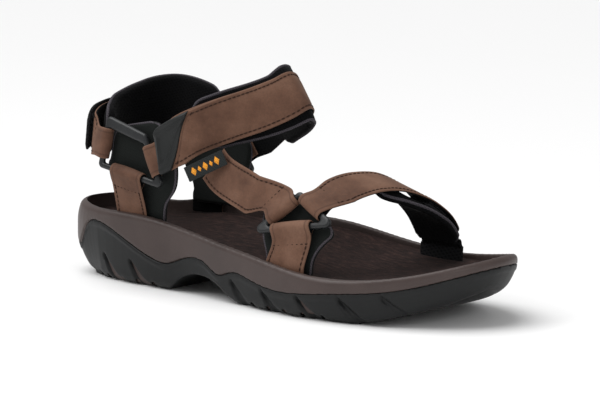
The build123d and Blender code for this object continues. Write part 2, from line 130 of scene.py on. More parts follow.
def math_node(tree, operation, first, second=0.5):
    return add_node(tree, "ShaderNodeMath", {"operation": operation}, i0=first, i1=second).outputs[0]


def bump(tree, shader, height, strength, distance, under=None):
    made = add_node(tree, "ShaderNodeBump", Height=height, Strength=strength, Distance=distance)
    if under:
        tree.links.new(under, made.inputs["Normal"])
    tree.links.new(made.outputs["Normal"], shader.inputs["Normal"])
    return made.outputs["Normal"]


def attribute(tree, name):
    return add_node(tree, "ShaderNodeAttribute", {"attribute_name": name}).outputs["Fac"]


def leather_material(name, dark, mid, light):
    """Oiled nubuck: cloudy tone, fine nap and pores, a painted highlight along the folded edge and painted
    shade along the stitch line.
    """
    material, tree, shader = new_material(name)
    where = place(tree)
    cloud = noise(tree, where, 38, 4, 0.6)
    body = ramp(tree, cloud, (0.3, dark), (0.5, mid), (0.72, light))
    nap = noise(tree, where, 900, 5, 0.7)
    body = mix(tree, 0.45, body, grey_ramp(tree, nap, (0.3, 0.35), (0.7, 0.68)), "OVERLAY")
    scuffs = noise(tree, stretched(tree, where, 1, 1, 2.5), 210, 4, 0.75)
    body = mix(tree, grey_ramp(tree, scuffs, (0.60, 0), (0.78, 0.35)), body, light)
    edge = attribute(tree, "edge")
    # Painted highlight: the colour is lightened along the strap's folded edge.
    body = mix(tree, grey_ramp(tree, edge, (0.0, 0.55), (0.22, 0)), body, light)
    # Painted shade: a dark band along the stitch line, where the strap dips.
    painted_stitch_shade = grey_ramp(tree, edge, (0.27, 0), (0.38, 0.6), (0.5, 0))
    body = mix(tree, painted_stitch_shade, body, tuple(c * 0.6 for c in dark))
    tree.links.new(body, shader.inputs["Base Color"])
    rough = grey_ramp(tree, nap, (0.3, 0.66), (0.7, 0.86))
    tree.links.new(rough, shader.inputs["Roughness"])
    shader.inputs["Sheen Weight"].default_value = 0.06
    shader.inputs["Sheen Roughness"].default_value = 0.5
    shader.inputs["Sheen Tint"].default_value = (0.85, 0.62, 0.48, 1)
    shader.inputs["Specular IOR Level"].default_value = 0.22
    pores = add_node(tree, "ShaderNodeTexVoronoi", Vector=where, Scale=1500).outputs["Distance"]
    fine = bump(tree, shader, nap, 0.35, 0.00012)
    bump(tree, shader, pores, 0.18, 0.00008, fine)
    return material


def fabric_material(name, dark, light, thread=0.0006, fuzz=0.15, depth=0.5):
    """Woven or knitted cloth: crossing threads seen as small bumps, with a little lint."""
    material, tree, shader = new_material(name)
    where = place(tree)
    warp = add_node(
        tree, "ShaderNodeTexWave", {"bands_direction": "DIAGONAL"},
        Vector=where, Scale=0.16 / thread, Distortion=0.6, Detail=1.0,
    ).outputs["Fac"]
    turned = add_node(tree, "ShaderNodeMapping", Vector=where, Rotation=(0.6, 1.1, 1.57)).outputs["Vector"]
    weft = add_node(
        tree, "ShaderNodeTexWave", {"bands_direction": "DIAGONAL"},
        Vector=turned, Scale=0.16 / thread, Distortion=0.6, Detail=1.0,
    ).outputs["Fac"]
    weave = math_node(tree, "MAXIMUM", warp, weft)
    lint = noise(tree, where, 700, 4, 0.7)
    tone = mix(tree, weave, dark, light)
    lint_colour = tuple(min(1, c * 3) for c in light)
    tone = mix(tree, grey_ramp(tree, lint, (0.55, 0), (0.8, fuzz)), tone, lint_colour)
    tree.links.new(tone, shader.inputs["Base Color"])
    tree.links.new(grey_ramp(tree, lint, (0.3, 0.78), (0.7, 0.95)), shader.inputs["Roughness"])
    shader.inputs["Sheen Weight"].default_value = 0.02
    shader.inputs["Sheen Roughness"].default_value = 0.45
    shader.inputs["Specular IOR Level"].default_value = 0.08
    under = bump(tree, shader, weave, depth, thread * 0.35)
    bump(tree, shader, lint, 0.25, 0.0002, under)
    return material


def moulded_material(name, dark, light, roughness, grain=900, depth=0.12, dust=0.0, specular=0.5):
    """Moulded rubber, foam or plastic: faint flow marks, fine mould grain and, with dust, worn patches."""
    material, tree, shader = new_material(name)
    where = place(tree)
    flow = noise(tree, where, 22, 4, 0.6)
    tone = ramp(tree, flow, (0.32, dark), (0.7, light))
    speck = noise(tree, where, grain, 3, 0.65)
    tone = mix(tree, 0.25, tone, grey_ramp(tree, speck, (0.3, 0.4), (0.7, 0.6)), "OVERLAY")
    if dust:
        patches = noise(tree, where, 60, 5, 0.7)
        worn = grey_ramp(tree, patches, (0.55, 0), (0.8, dust))
        tone = mix(tree, worn, tone, (0.06, 0.055, 0.05))
    tree.links.new(tone, shader.inputs["Base Color"])
    rough = grey_ramp(tree, flow, (0.3, roughness - 0.06), (0.75, roughness + 0.08))
    tree.links.new(rough, shader.inputs["Roughness"])
    shader.inputs["Specular IOR Level"].default_value = specular
    bump(tree, shader, speck, depth, 0.0002)
    return material


def fibre_material(name, dark, mid, light):
    """The footbed's brushed microfibre: short streaky fibres lying roughly along the foot."""
    material, tree, shader = new_material(name)
    where = place(tree)
    streaks = noise(tree, stretched(tree, where, 0.35, 1, 1), 420, 6, 0.75)
    clouds = noise(tree, where, 30, 4, 0.65)
    tone = ramp(tree, streaks, (0.34, dark), (0.52, mid), (0.72, light))
    tone = mix(tree, 0.5, tone, grey_ramp(tree, clouds, (0.3, 0.33), (0.7, 0.62)), "OVERLAY")
    tree.links.new(tone, shader.inputs["Base Color"])
    shader.inputs["Roughness"].default_value = 0.95
    shader.inputs["Specular IOR Level"].default_value = 0.12
    shader.inputs["Sheen Weight"].default_value = 0.03
    shader.inputs["Sheen Roughness"].default_value = 0.6
    fine = bump(tree, shader, streaks, 0.6, 0.0005)
    bump(tree, shader, noise(tree, where, 1700, 3, 0.7), 0.4, 0.0002, fine)
    return material


leather = leather_material("nubuck", (0.075, 0.035, 0.022), (0.125, 0.062, 0.039), (0.185, 0.1, 0.066))
thread_dark = fabric_material("thread_dark", (0.02, 0.011, 0.008), (0.045, 0.025, 0.018), 0.0002)
# Black lining cloth, its colour pushed nearly to zero so that it also paints the shade inside the heel
# collar.
lining = fabric_material("lining", (0.0012, 0.0012, 0.0013), (0.0045, 0.0045, 0.005), 0.0007, 0.06)
piping_cloth = fabric_material("piping_cloth", (0.03, 0.027, 0.032), (0.08, 0.072, 0.082), 0.0005, 0.1)
webbing = fabric_material("webbing", (0.004, 0.004, 0.0045), (0.014, 0.014, 0.015), 0.0008, 0.1, 0.8)
backer_cloth = fabric_material(
    "backer_cloth", (0.006, 0.0068, 0.0064), (0.015, 0.017, 0.016), 0.0004, 0.08, 0.3
)
hook_tape = fabric_material("hook_tape", (0.004, 0.004, 0.005), (0.02, 0.02, 0.022), 0.0011, 0.2, 1.0)
label_cloth = fabric_material("label_cloth", (0.008, 0.01, 0.01), (0.03, 0.033, 0.033), 0.0004, 0.05)
orange_thread = fabric_material("orange_thread", (0.5, 0.16, 0.01), (0.9, 0.38, 0.05), 0.0004, 0.1)
outsole_rubber = moulded_material(
    "outsole_rubber", (0.0075, 0.0078, 0.008), (0.014, 0.0145, 0.0148), 0.46, 1100, 0.2, 0.1, 0.2
)
midsole_foam = moulded_material(
    "midsole_foam", (0.044, 0.0305, 0.0275), (0.066, 0.047, 0.043), 0.42, 800, 0.08, specular=0.3
)
ring_plastic = moulded_material(
    "ring_plastic", (0.008, 0.0088, 0.0095), (0.017, 0.0185, 0.02), 0.36, 700, 0.08, specular=0.35
)
tab_rubber = moulded_material(
    "tab_rubber", (0.009, 0.01, 0.01), (0.017, 0.0185, 0.0185), 0.46, 900, 0.12, specular=0.25
)
inner_foam = moulded_material("inner_foam", (0.3, 0.1, 0.02), (0.4, 0.16, 0.04), 0.8, 300, 0.3)
footbed_fibre = fibre_material(
    "footbed_fibre", (0.0075, 0.0035, 0.003), (0.022, 0.0105, 0.009), (0.055, 0.029, 0.023)
)


# ---------------------------------------------------------------- mesh helpers
def make_object(name, points, faces, material, layers=None, inside=None, inner_faces=None):
    """A smooth-shaded mesh object; doubled points are merged and normals point outwards."""
    mesh = bpy.data.meshes.new(name)
    mesh.from_pydata([tuple(p) for p in points], [], faces)
    for label, values in (layers or {}).items():
        mesh.attributes.new(label, "FLOAT", "POINT").data.foreach_set("value", values)
    if inside:
        mesh.polygons.foreach_set("material_index", [int(inner) for inner in inner_faces])
    made = bmesh.new()
    made.from_mesh(mesh)
    bmesh.ops.remove_doubles(made, verts=made.verts, dist=1e-6)
    bmesh.ops.recalc_face_normals(made, faces=made.faces)
    for face in made.faces:
        face.smooth = True
    made.to_mesh(mesh)
    made.free()
    mesh.materials.append(material)
    if inside:
        mesh.materials.append(inside)
    piece = bpy.data.objects.new(name, mesh)
    bpy.context.scene.collection.objects.link(piece)
    return piece


class Path:
    """The run of a flat strap: middles, unit sideways and outward vectors, half widths, length so far."""

    def __init__(self, middles, sideways, outward, halves):
        self.middles, self.halves = np.array(middles), np.array(halves)
        self.sideways = unit(np.array(sideways))
        self.outward = unit(np.array(outward))
        steps = np.linalg.norm(np.diff(self.middles, axis=0), axis=1)
        self.lengths = np.concatenate([[0], np.cumsum(steps)])

    @property
    def length(self):
        return self.lengths[-1]

    def at(self, where):
        """Smoothly interpolated middles, sideways, outward and halves at lengths along the path."""
        where = np.clip(np.asarray(where, float), 0, self.length)
        index = np.clip(np.searchsorted(self.lengths, where, side="right") - 1, 0, len(self.lengths) - 2)
        span = self.lengths[index + 1] - self.lengths[index]
        u = ((where - self.lengths[index]) / np.where(span > 0, span, 1))[:, None]
        last = len(self.lengths) - 1
        before, after = np.clip(index - 1, 0, last), np.clip(index + 2, 0, last)

        def blend(values):
            b, c = values[index], values[index + 1]
            slope_b = (c - values[before]) / (self.lengths[index + 1] - self.lengths[before])[:, None]
            slope_c = (values[after] - b) / (self.lengths[after] - self.lengths[index])[:, None]
            scale = span[:, None]
            return (
                (2 * u**3 - 3 * u**2 + 1) * b + (u**3 - 2 * u**2 + u) * scale * slope_b
                + (3 * u**2 - 2 * u**3) * c + (u**3 - u**2) * scale * slope_c
            )

        outward = unit(blend(self.outward))
        sideways = blend(self.sideways)
        sideways = unit(sideways - outward * (sideways * outward).sum(1)[:, None])
        return blend(self.middles), sideways, outward, blend(self.halves[:, None])[:, 0]


def unit(vectors):
    return vectors / np.maximum(np.linalg.norm(vectors, axis=-1, keepdims=True), 1e-12)


# ---------------------------------------------------------------- the runs of the straps
def last(x, y, z):
    """A point of the sandal's last, heel at x 0, in the row frame."""
    return np.array([x - 150, y - 1.2, z]) * MM


def blend(values, t):
    """Catmull-Rom blend of a list of points or numbers, and its rate of change, at t."""
    index = min(max(int(t), 0), len(values) - 2)
    u = t - index
    b, c = values[index], values[index + 1]
    a = values[index - 1] if index > 0 else b * 2 - c
    d = values[index + 2] if index + 2 < len(values) else c * 2 - b
    square, cube = a * 2 - b * 5 + c * 4 - d, b * 3 - a - c * 3 + d
    value = b * 2 + (c - a) * u + square * u**2 + cube * u**3
    return value * 0.5, ((c - a) + square * 2 * u + cube * 3 * u**2) * 0.5


def spread(value, share):
    if not isinstance(value, list):
        return value
    return blend(value, share * (len(value) - 1))[0]


def station(centre, across, along, width, lift=0.0):
    """A cross-section of a strap, outward side away from the foot: middle, across, outward, half width."""
    along = unit(np.array(along, float))
    across = np.array(across, float)
    across = unit(across - along * across.dot(along))
    foot = np.array([max(centre[0], last(50, 0, 0)[0]), 0, centre[2] - 30 * MM])
    outward = np.cross(along, across)
    if outward.dot(centre - foot) < 0:
        across, outward = -across, -outward
    return centre + outward * lift * MM, across, outward, width * MM / 2


def follow(route, start, end, width, lift=0.0, steps=5):
    """Stations along a route of (point, across) controls, from control start to control end."""
    count = max(2, round(abs(end - start) * steps) + 1)
    made = []
    for index in range(count):
        share = index / (count - 1)
        t = start + (end - start) * share
        centre, rate = blend([last(*point) for point, _ in route], t)
        across, _ = blend([np.array(side, float) for _, side in route], t)
        along = rate if end > start else -rate
        made.append(station(centre, across, along, spread(width, share), spread(lift, share)))
    return made


TAIL_SHARE = 0.86  # a folded tail's width, so that it stays hidden behind its strap


def loop_round(bar, across, away, width):
    """Stations of a strap's end doubled back round a ring bar, tail first."""
    _, across, outward, half = station(bar, across, away, width)
    along = np.cross(across, outward)
    seam = SEAM_LIFT * MM
    radius = (BAR_WIDTH / 2 + LOOP_CLEARANCE + LEATHER / 2) * MM
    tail_half = half * TAIL_SHARE
    made = [
        (bar + along * reach * MM - outward * seam, across, -outward, tail_half) for reach in (10, 8.5, 7)
    ]
    for angle in range(-90, 91, 15):
        turn = math.radians(angle)
        spoke = outward * math.sin(turn) - along * math.cos(turn)
        made.append((bar + spoke * radius, across, spoke, half))
    return [*made, (bar + along * 7 * MM + outward * seam, across, outward, half)]


def path_through(stations):
    return Path(*(np.array(column) for column in zip(*stations)))


class Bars:
    """The bars of a ring on a plane, by the numbers of their corners."""

    def __init__(self, origin, x_dir, z_dir, corners):
        self.normal = unit(np.array(z_dir, float))
        x_dir = np.array(x_dir, float)
        self.x_dir = unit(x_dir - self.normal * x_dir.dot(self.normal))
        self.y_dir = np.cross(self.normal, self.x_dir)
        self.spots = [origin + (self.x_dir * x + self.y_dir * y) * MM for x, y in corners]

    def loop(self, corners, share, direction, width):
        """The looped end of a strap on a bar, heading off as near to direction as the bar allows."""
        first, second = (self.spots[c] for c in corners)
        side = unit(second - first)
        direction = np.array(direction, float)
        heading = unit(direction - side * direction.dot(side))
        return loop_round(first + (second - first) * share, side, heading, width)


def end_spacing(length, step, fine):
    """Lengths along a piece, close together at both ends, where it rounds off."""
    edge = [0, 0.06, 0.2, 0.45, 0.75, 1.0]
    ends = [fine * e for e in edge]
    middle = np.linspace(fine * 1.4, length - fine * 1.4, max(3, int(length / step)))
    return np.array([*ends, *middle, *[length - e for e in reversed(ends)]])


SLANT_FADE = 30 * MM  # how far a slanted end's turn reaches into its band


def ribbon(name, path, thickness, material, relief=None, corner=(0, 0), step=1.3 * MM,
           across_step=1.6 * MM, inside=None, begin=0.0, finish=None, slants=(0, 0)):
    """A band with rounded edges and ends swept along a path, from begin to finish.

    relief(along, across, half) raises the outer face. corner rounds the outline's corners at the
    two ends, and slants turn the ends within the band's own surface.
    """
    rounding = thickness / 2
    finish = path.length if finish is None else finish
    length = finish - begin
    run = end_spacing(length, step, rounding)
    for radius, at_end in zip(corner, (False, True)):
        if radius:
            extra = radius * np.array([0.03, 0.1, 0.2, 0.35, 0.5, 0.7, 0.85, 1.0])
            run = np.concatenate([run, length - extra if at_end else extra])
    run = np.unique(np.round(run, 7))
    halves = path.at(begin + run)[3]
    for radius, distance in zip(corner, (run, length - run)):
        if radius:
            d = np.clip(distance, 0, radius)
            halves = halves - radius + np.sqrt(np.maximum(radius**2 - (radius - d) ** 2, 0))
    halves = np.maximum(halves, 1e-5)
    inner = max(4, int(2 * (halves.max() - rounding) / across_step))
    edge = np.array([0, 0.07, 0.22, 0.45, 0.75, 1.0])
    columns = 2 * len(edge) + inner
    across, high, low, side_gap, end_gap = ([] for _ in range(5))
    for half, distance in zip(halves, run):
        r = min(rounding, half * 0.95)
        middle = np.linspace(-half + r, half - r, inner + 2)[1:-1]
        here = np.concatenate([-half + r * edge, middle, (half - r * edge)[::-1]])
        from_side, from_end = half - np.abs(here), min(distance, length - distance)
        nearness = np.minimum(from_side / r, from_end / rounding).clip(0, 1)
        full = np.sqrt(np.maximum(1 - (1 - nearness) ** 2, 0))
        across.append(here)
        high.append(full * (thickness / 2 + (relief(distance, here, half) if relief else 0)))
        low.append(-full * thickness / 2)
        side_gap.append(from_side)
        end_gap.append(np.full(columns, from_end))
    across, high, low = np.array(across), np.array(high), np.array(low)
    turned = slants[0] * np.clip(1 - run / SLANT_FADE, 0, 1) ** 1.5
    turned += slants[1] * np.clip(1 - (length - run) / SLANT_FADE, 0, 1) ** 1.5
    along = begin + run[:, None] + turned[:, None] * across
    middles, sideways, outward, _ = path.at(along.ravel())
    base = middles + sideways * across.reshape(-1, 1)
    top = (base + outward * high.reshape(-1, 1)).reshape(len(run), columns, 3)
    under = (base + outward * low.reshape(-1, 1)).reshape(len(run), columns, 3)
    points = np.stack([top, under], 1).reshape(-1, 3)
    faces = []
    for i in range(len(run) - 1):
        for j in range(columns - 1):
            a, b = 2 * i * columns + j, 2 * (i + 1) * columns + j
            faces.append((a, a + 1, b + 1, b))
            a, b = a + columns, b + columns
            faces.append((a, b, b + 1, a + 1))
    for row in (0, len(run) - 1):
        for j in range(columns - 1):
            a, b = 2 * row * columns + j, (2 * row + 1) * columns + j
            faces.append((a, a + 1, b + 1, b))
    for i in range(len(run) - 1):
        for j in (0, columns - 1):
            a, b = 2 * i * columns + j, 2 * (i + 1) * columns + j
            faces.append((a, b, b + columns, a + columns))
    nearest = np.minimum(np.array(side_gap), np.array(end_gap) + 0.4 * MM)
    twice = np.stack([nearest, nearest], 1).ravel()
    layers = {"edge": np.clip(twice / (6 * MM), 0, 1)}
    inner_faces = [k % 2 == 1 and k < 2 * (len(run) - 1) * (columns - 1) for k in range(len(faces))]
    return make_object(name, points, faces, material, layers, inside, inner_faces)


STITCH_INSET = 2.3 * MM


def folded_edges(stitched_from, stitched_to, swell=0.25 * MM, seed=1):
    """Relief of a strap: the dip of its stitch line, a soft swell between, a little unevenness."""

    def relief(along, across, half):
        from_side = half - np.abs(across)
        dip = -0.34 * MM * np.exp(-(((from_side - STITCH_INSET) / (0.55 * MM)) ** 2))
        if not stitched_from <= along <= stitched_to:
            dip = dip * 0
        plump = swell * np.clip((from_side - STITCH_INSET) / (5 * MM), 0, 1)
        wave = 0.12 * MM * np.sin(along * 210 + seed) * np.cos(across * 160 + seed * 2)
        return dip + plump + wave

    return relief


THREAD_LONG, THREAD_WIDE, THREAD_TALL = 2.15 * MM, 0.36 * MM, 0.3 * MM
STITCH_PITCH = 2.7 * MM


def capsules(name, spots):
    """Short rounded threads: each spot is a middle, the thread's direction and its outward side."""
    points, faces = [], []
    rings, around = 7, 8
    for middle, direction, outward in spots:
        middle, direction, outward = (np.array(v, float) for v in (middle, direction, outward))
        direction, outward = unit(direction), unit(outward)
        side = np.cross(direction, outward)
        start = len(points)
        for k in range(rings):
            share = -1 + 2 * k / (rings - 1)
            size = math.sqrt(max(1 - abs(share) ** 3.2, 0.02))
            sink = -0.5 * THREAD_TALL * abs(share) ** 3
            for j in range(around):
                turn = 2 * math.pi * j / around
                offset = side * math.cos(turn) * THREAD_WIDE * size
                offset += outward * (math.sin(turn) * THREAD_TALL * size + sink)
                points.append(middle + direction * share * THREAD_LONG / 2 + offset)
        for k in range(rings - 1):
            for j in range(around):
                a, b = start + k * around + j, start + k * around + (j + 1) % around
                faces.append((a, b, b + around, a + around))
        faces.append(tuple(start + j for j in range(around)))
        faces.append(tuple(start + (rings - 1) * around + j for j in reversed(range(around))))
    return make_object(name, points, faces, thread_dark)


def stitch_row(path, start, end, sides=(-1, 1)):
    """Stitches along a strap, inset from its edges."""
    spots = []
    where = np.arange(start, end, STITCH_PITCH)
    middles, sideways, outward, halves = path.at(where)
    ahead, *_ = path.at(where + 0.2 * MM)
    for side in sides:
        for i in range(len(where)):
            wobble = random.uniform(-0.1, 0.1) * MM
            spot = middles[i] + sideways[i] * side * (halves[i] - STITCH_INSET + wobble)
            lift = outward[i] * (LEATHER / 2 - 0.1) * MM
            spots.append((spot + lift, ahead[i] - middles[i], outward[i]))
    return spots


def stitch_across(path, where, slant=0.0):
    """A row of stitches across a strap at a place along it, slanted if asked."""
    spots = []
    _, _, _, half = (values[0] for values in path.at([where]))
    count = max(2, int(2 * (half - STITCH_INSET) / STITCH_PITCH))
    for k in range(count + 1):
        across = (-1 + 2 * k / count) * (half - STITCH_INSET)
        middle, sideways, outward, _ = (values[0] for values in path.at([where + slant * across]))
        direction = sideways + np.cross(sideways, outward) * slant
        lift = outward * (LEATHER / 2 - 0.02) * MM
        spots.append((middle + sideways * across + lift, direction, outward))
    return spots


def piping_tube(name, points, radius, around=10):
    """A round closed cord through points."""
    points = np.array(points)
    tangents = unit(np.roll(points, -1, 0) - np.roll(points, 1, 0))
    normal = unit(np.cross(tangents[0], [0.3, 0.2, 0.9]))
    verts, faces = [], []
    for i, spot in enumerate(points):
        normal = unit(normal - tangents[i] * np.dot(normal, tangents[i]))
        side = np.cross(tangents[i], normal)
        for j in range(around):
            turn = 2 * math.pi * j / around
            verts.append(spot + radius * (normal * math.cos(turn) + side * math.sin(turn)))
    count = len(points)
    for i in range(count):
        for j in range(around):
            a, b = i * around + j, i * around + (j + 1) % around
            c, d = ((i + 1) % count) * around + j, ((i + 1) % count) * around + (j + 1) % around
            faces.append((a, b, d, c))
    return make_object(name, verts, faces, piping_cloth)


def outline_of(path, lift, inset=0.0, corner=(0, 0), step=2 * MM):
    """Points round the outline of a band, raised by lift on its outer side."""
    along = np.linspace(inset, path.length - inset, max(8, int(path.length / step)))
    middles, sideways, outward, halves = path.at(along)
    for radius, distance in zip(corner, (along - inset, path.length - inset - along)):
        if radius:
            d = np.clip(distance, 0, radius)
            halves = halves - radius + np.sqrt(np.maximum(radius**2 - (radius - d) ** 2, 0))
    halves = np.maximum(halves - inset, 0.5 * MM)
    one = middles + sideways * halves[:, None] + outward * lift
    other = middles - sideways * halves[:, None] + outward * lift
    return np.vstack([one, other[::-1]])


def finish_piece(piece, body, slot_name, *replaced):
    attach(piece, body)
    if replaced:
        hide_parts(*replaced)
    return piece


BEND_REACH = 4 * MM


def span_joint(piece, slot_name, joint_name, heading, *replaced):
    """Bakes a piece's transform into its mesh and hides the parts it replaces."""
    heading = unit(np.array(heading, float)) * BEND_REACH
    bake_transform(piece)
    if replaced:
        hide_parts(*replaced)
    return piece


X = (1, 0, 0)
front_bars = Bars(
    last(193, -39.5, 56), (0.986, 0.077, 0.165), (0, -0.906, 0.423),
    [(-26.4, -8.5), (23.6, -8.5), (0.4, 10.6)],
)
rear_corners = [(-21, -10), (26, -18), (11, 9), (-17, 17)]
lateral_bars = Bars(last(69, -40, 80), X, (0, -0.995, 0.1), rear_corners)
medial_bars = Bars(last(69, 40, 80), (-1, 0, 0), (0, 0.995, 0.1), [(-x, y) for x, y in rear_corners])

toe_route = [
    ((208.7, -33, 63.5), (-0.86, 0.2, 0.44)), ((211, -22, 69), (-0.9, 0.15, 0.4)),
    ((216, -7, 72), (-0.94, 0, 0.33)), ((221, 8, 71), (-0.94, 0, 0.33)), ((226, 23, 65), (-0.94, 0, 0.3)),
    ((230, 36, 55), (-0.96, 0, 0.2)), ((232, 44.5, 44), (-1, 0, 0.1)), ((232, 48.5, 34), X),
    ((232, 48.5, 30), X), ((232, 48.5, 17.5), X),
]
connector_route = [
    ((172, -38.8, 59), (0.6, 0.2, 0.78)), ((154.5, -37.3, 64.5), (0.34, 0.2, 0.92)),
    ((134, -33.4, 71), (0.2, 0.2, 0.96)), ((121, -29, 79), (0.3, 0.2, 0.93)),
]
label_route = [((137, -34.6, 82), (-0.35, -0.1, 0.93)), ((113.5, -40, 70), (-0.35, -0.1, 0.93))]
instep_route = [
    ((88, -45.6, 78), (-0.49, 0, 0.87)), ((102, -43, 85.5), (-0.42, -0.1, 0.9)),
    ((115, -39, 93.5), (-0.24, -0.32, 0.92)), ((131, -29, 101.5), (-0.32, -0.23, 0.92)),
    ((146, -18, 108.2), (-0.38, -0.07, 0.92)), ((156, -8.5, 114), (-0.52, 0, 0.85)),
    ((160, 1, 118.5), (-0.64, 0, 0.77)), ((157, 11, 117), (-0.58, 0, 0.81)),
    ((150, 20, 112.5), (-0.45, 0.07, 0.88)), ((136, 30.5, 105), (-0.35, 0.2, 0.9)),
    ((119, 38, 96), (-0.38, 0.2, 0.9)), ((103, 40.6, 86), (-0.45, 0, 0.88)),
]
heel_route = [
    ((42, -38, 84), (0.05, 0, 1)), ((34, -31, 87), (0.12, 0, 1)), ((27.5, -18, 90), (0.2, 0, 1)),
    ((25, 0, 92), (0.24, 0, 1)), ((27.5, 18, 90), (0.2, 0, 1)), ((34, 31, 87), (0.12, 0, 1)),
    ((42, 38, 84), (0.05, 0, 1)),
]
collar_route = [
    ((45, -31.3, 87), (0.05, 0, 1)), ((38.5, -24, 89.5), (0.12, 0, 1)), ((32.5, -13.5, 93), (0.2, 0, 1)),
    ((30, 1, 96), (0.24, 0, 1)), ((32.5, 14.5, 98.5), (0.2, 0, 1)), ((39, 24.5, 101), (0.12, 0, 1)),
    ((48, 30, 101.5), (0.05, 0, 1)), ((62, 31.3, 100), (0.03, 0, 1)), ((76, 31.8, 97), (0.03, 0, 1)),
]


# ---------------------------------------------------------------- leather straps
def leather_strap(name, stations, node, stitched, crossing, seed=1):
    """A strap with folded edges, stitched along them from start to end and across at crossing."""
    path = path_through(stations)
    start, end = max(stitched[0], 0), min(stitched[1], path.length)
    relief = folded_edges(start, end, seed=seed)
    piece = ribbon(f"{name}_skin", path, LEATHER * MM, leather, relief, inside=lining)
    finish_piece(piece, "sandal", "leather", node)
    spots = stitch_row(path, start + 1.5 * MM, end - 1.5 * MM) + stitch_across(path, crossing)
    finish_piece(capsules(f"{name}_stitches", spots), "sandal", "leather")


rim_at_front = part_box("front_lateral_anchor")[0][2] / MM + 10
front_anchor = [
    *front_bars.loop((0, 1), 0.48, (-0.1, -0.15, -1), 26),
    *follow([((190, -46.5, rim_at_front + 1), X), ((190, -46.5, rim_at_front - 4), X),
             ((190, -46.5, rim_at_front - 10), X)], 0, 2, 27, steps=1),
]
leather_strap("front_anchor", front_anchor, "front_lateral_anchor", (0.0295, 0.05), 0.029)

leather_strap(
    "connector",
    [*front_bars.loop((2, 0), 0.4, (-1, 0.1, 0.3), 21), *follow(connector_route, 0.7, 2.7, 23)],
    "connector_strap", (0.030, 1), 0.030, seed=2,
)
for side_name, bars, side in (("lateral", lateral_bars, -1), ("medial", medial_bars, 1)):
    node = f"rear_{side_name}_anchor"
    rim_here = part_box(node)[0][2] / MM + 10
    leather_strap(
        f"rear_{side_name}_anchor",
        [*bars.loop((0, 1), 0.45, (0, -0.15 * side, -1), 24),
         *follow([((66, side * 34.5, rim_here + 2), X), ((66, side * 34.2, rim_here - 4), X),
                  ((66, side * 34.2, rim_here - 10), X)], 0, 2, 23, steps=1)],
        node, (0.029, 1), 0.029, seed=3 + side,
    )

# The toe strap and its flap are one skin.
TOE_SPLIT, TOE_END = 3.6, 6.3
toe_strap_path = path_through([
    *front_bars.loop((1, 2), 0.6, (0.15, 0.8, 0.6), 18.5), *follow(toe_route, 0.8, TOE_END, 24),
])
toe_heading = blend([last(*p) for p, _ in toe_route], TOE_SPLIT)[1]
toe_skin = ribbon(
    "toe_strap_skin", toe_strap_path, LEATHER * MM, leather, folded_edges(0.030, 1, seed=5),
    corner=(0, 3 * MM), inside=lining,
)
span_joint(toe_skin, "leather", "toe_flap_peel", toe_heading, "toe_strap", "toe_strap_flap")
toe_threads = capsules("toe_strap_stitches", [
    *stitch_row(toe_strap_path, 0.0325, toe_strap_path.length - 2 * MM),
    *stitch_across(toe_strap_path, 0.031),
    *stitch_across(toe_strap_path, toe_strap_path.length - STITCH_INSET),
])
span_joint(toe_threads, "leather", "toe_flap_peel", toe_heading)

# The instep strap likewise, to the slanted seam where the pull tab begins.
INSTEP_CREST, INSTEP_SEAM, SEAM_SLANT = 6.0, 1.5, 0.95
INSTEP_WIDTH = 26
instep_loop = medial_bars.loop((1, 2), 0.5, (0.87, 0, 0.5), 19)


def instep_stations(end):
    """The instep strap's stations from its medial ring to a control of its route."""
    run = [(m, -a, o, h) for m, a, o, h in follow(instep_route, 11, end, INSTEP_WIDTH, steps=8)]
    if np.dot(run[0][1], instep_loop[-1][1]) < 0:
        run = [(m, -a, o, h) for m, a, o, h in run]
    return [*instep_loop, *run]


instep_path = path_through(instep_stations(0.25))
instep_end = path_through(instep_stations(INSTEP_SEAM)).length
top_side = 1 if instep_path.at([instep_end])[1][0][2] > 0 else -1
slant = -SEAM_SLANT * top_side
instep_heading = -blend([last(*p) for p, _ in instep_route], INSTEP_CREST)[1]
instep_skin = ribbon(
    "instep_strap_skin", instep_path, LEATHER * MM, leather, folded_edges(0.030, 1, 0.35 * MM, seed=8),
    inside=lining, finish=instep_end, slants=(0, slant),
)
span_joint(
    instep_skin, "leather", "instep_flap_peel", instep_heading, "instep_strap", "instep_strap_flap"
)
seam_shift = SEAM_SLANT * (INSTEP_WIDTH / 2 * MM - STITCH_INSET)
instep_threads = capsules("instep_strap_stitches", [
    *stitch_row(instep_path, 0.0325, instep_end - seam_shift - 2 * MM, sides=(top_side,)),
    *stitch_row(instep_path, 0.0325, instep_end + seam_shift - 2 * MM, sides=(-top_side,)),
    *stitch_across(instep_path, 0.031),
    *stitch_across(instep_path, instep_end - 3.0 * MM, slant=slant),
])
span_joint(instep_threads, "leather", "instep_flap_peel", instep_heading)

leather_strap(
    "instep_base",
    [*lateral_bars.loop((1, 2), 0.5, (0.87, 0.08, 0.5), 19),
     *follow(instep_route, 1.1, 3.6, 26, lift=-CLOSURE)],
    "instep_base_strap", (0.030, 1), 0.031, seed=9,
)
leather_strap(
    "heel_lateral",
    [*lateral_bars.loop((3, 0), 0.52, (-1, 0.1, 0), 18),
     *follow(heel_route, 0.8, 2.7, 26, lift=SEAM_LIFT)],
    "heel_strap_lateral", (0.030, 1), 0.031, seed=10,
)

# The heel strap's medial half and flap are one length of webbing.
HEEL_SPLIT = 3.2
heel_high = SEAM_LIFT + CLOSURE
heel_medial_path = path_through([
    *medial_bars.loop((3, 0), 0.52, (-1, -0.1, 0), 18),
    *follow(heel_route, 5.2, HEEL_SPLIT, 26, lift=[SEAM_LIFT, SEAM_LIFT, heel_high, heel_high]),
    *follow(heel_route, HEEL_SPLIT - 0.1, 0.8, [26, 26, 26, 22], lift=heel_high),
])


